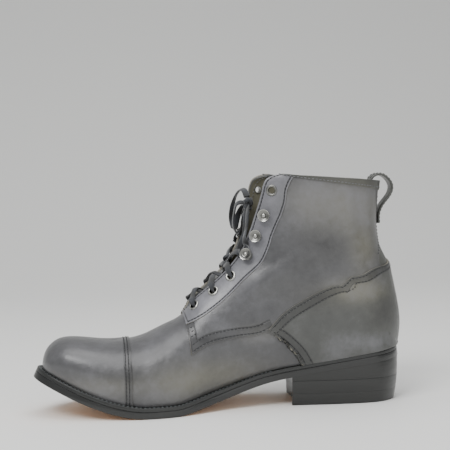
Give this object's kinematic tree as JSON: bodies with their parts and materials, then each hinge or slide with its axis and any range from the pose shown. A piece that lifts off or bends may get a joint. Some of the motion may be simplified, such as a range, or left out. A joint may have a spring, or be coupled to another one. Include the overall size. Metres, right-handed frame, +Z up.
{
  "type": "lace-up ankle boot",
  "caption": "Lace-up leather ankle boot with toe cap, hooks above eyelets, pull loop at the back, curved thin sole and a stacked block heel.",
  "frame": {"origin": "centre of the heel's flat rest face, on the floor", "axes": "+X from heel to toe, +Y to the wearer's left, which is the inner (medial) side of this right boot, +Z up"},
  "size_m": [0.3067, 0.1053, 0.1917],
  "materials": {
    "back_strap": "satin",
    "collar_binding": "satin",
    "counter": "burnished",
    "eyelet_lateral_1": "satin",
    "eyelet_lateral_2": "satin",
    "eyelet_lateral_3": "satin",
    "eyelet_lateral_4": "satin",
    "eyelet_medial_1": "satin",
    "eyelet_medial_2": "satin",
    "eyelet_medial_3": "satin",
    "eyelet_medial_4": "satin",
    "eyestay_lateral": "burnished",
    "eyestay_medial": "burnished",
    "heel_lift": "polished edge",
    "heel_top_piece": "satin",
    "heel_wedge_lift": "polished edge",
    "insole": "matte",
    "lace_crossing_1": "woven",
    "lace_crossing_2": "woven",
    "lace_end_front": "woven",
    "lace_hook_lateral_1": "satin",
    "lace_hook_lateral_2": "satin",
    "lace_hook_lateral_3": "satin",
    "lace_hook_medial_1": "satin",
    "lace_hook_medial_2": "satin",
    "lace_hook_medial_3": "satin",
    "lace_knot_low": "woven",
    "lace_knot_top": "woven",
    "lace_loop_front": "woven",
    "lace_loop_side": "woven",
    "lace_riser_lateral": "woven",
    "lace_riser_medial": "woven",
    "lace_tie_lateral": "woven",
    "lace_tie_medial": "woven",
    "outsole": "smooth",
    "pull_loop": "satin",
    "quarter_lateral": "burnished",
    "quarter_medial": "burnished",
    "toe_cap": "burnished",
    "tongue": "burnished",
    "upper": "burnished",
    "welt": "polished edge"
  },
  "bodies": {
    "root": {"back_strap": "back_strap", "collar_binding": "collar_binding", "counter": "counter", "eyelet_lateral_1": "eyelet_lateral_1", "eyelet_lateral_2": "eyelet_lateral_2", "eyelet_lateral_3": "eyelet_lateral_3", "eyelet_lateral_4": "eyelet_lateral_4", "eyelet_medial_1": "eyelet_medial_1", "eyelet_medial_2": "eyelet_medial_2", "eyelet_medial_3": "eyelet_medial_3", "eyelet_medial_4": "eyelet_medial_4", "eyestay_lateral": "eyestay_lateral", "eyestay_medial": "eyestay_medial", "heel_lift": "heel_lift", "heel_top_piece": "heel_top_piece", "heel_wedge_lift": "heel_wedge_lift", "insole": "insole", "lace_crossing_1": "lace_crossing_1", "lace_crossing_2": "lace_crossing_2", "lace_end_front": "lace_end_front", "lace_hook_lateral_1": "lace_hook_lateral_1", "lace_hook_lateral_2": "lace_hook_lateral_2", "lace_hook_lateral_3": "lace_hook_lateral_3", "lace_hook_medial_1": "lace_hook_medial_1", "lace_hook_medial_2": "lace_hook_medial_2", "lace_hook_medial_3": "lace_hook_medial_3", "lace_knot_low": "lace_knot_low", "lace_knot_top": "lace_knot_top", "lace_loop_front": "lace_loop_front", "lace_loop_side": "lace_loop_side", "lace_riser_lateral": "lace_riser_lateral", "lace_riser_medial": "lace_riser_medial", "lace_tie_lateral": "lace_tie_lateral", "lace_tie_medial": "lace_tie_medial", "outsole": "outsole", "pull_loop": "pull_loop", "quarter_lateral": "quarter_lateral", "quarter_medial": "quarter_medial", "toe_cap": "toe_cap", "tongue": "tongue", "upper": "upper", "welt": "welt"}
  },
  "joints": []
}
